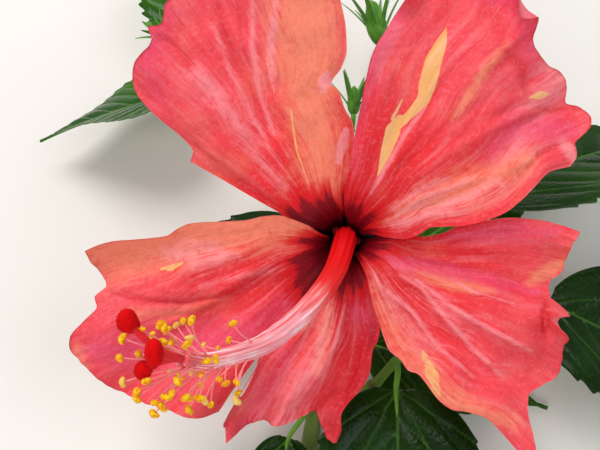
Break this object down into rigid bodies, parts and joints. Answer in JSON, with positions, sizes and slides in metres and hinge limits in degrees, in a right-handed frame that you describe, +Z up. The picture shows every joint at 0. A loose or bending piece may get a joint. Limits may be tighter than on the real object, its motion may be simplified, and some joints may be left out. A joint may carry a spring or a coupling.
{
  "type": "hibiscus flowering branch",
  "caption": "Cut flowering branch of hibiscus, lying down, with a wide open coral-red bloom, toothed leaves and green buds.",
  "frame": {"origin": "on the ground, under the middle of the branch's box", "axes": "+Y from the cut end towards the branch's tip, +X to the right as the bloom is seen, +Z up"},
  "size_m": [0.2518, 0.3192, 0.125],
  "materials": {
    "petal": "soft thin petal, coral red with cream streaks",
    "column": "smooth waxy coral, with yellow pollen heads",
    "stigma": "velvety deep red",
    "calyx": "matt mid green",
    "leaf": "glossy dark green",
    "stem": "matt green-brown bark",
    "bud": "satin bright green"
  },
  "bodies": {
    "root": {"stem": "stem", "left_twig": "stem", "right_twig": "stem", "leaf_01": "leaf", "leaf_02": "leaf", "leaf_03": "leaf", "leaf_04": "leaf", "leaf_05": "leaf", "leaf_06": "leaf", "leaf_07": "leaf", "leaf_08": "leaf", "leaf_09": "leaf", "bud_top": "bud", "bud_tip": "bud", "bud_left": "bud", "petal_upper_left": "petal", "petal_upper_right": "petal", "petal_right": "petal", "petal_lower": "petal", "petal_left": "petal", "stamen_column": "column", "stigmas": "stigma", "calyx": "calyx", "epicalyx": "calyx", "flower_stalk": "calyx"}
  },
  "joints": []
}
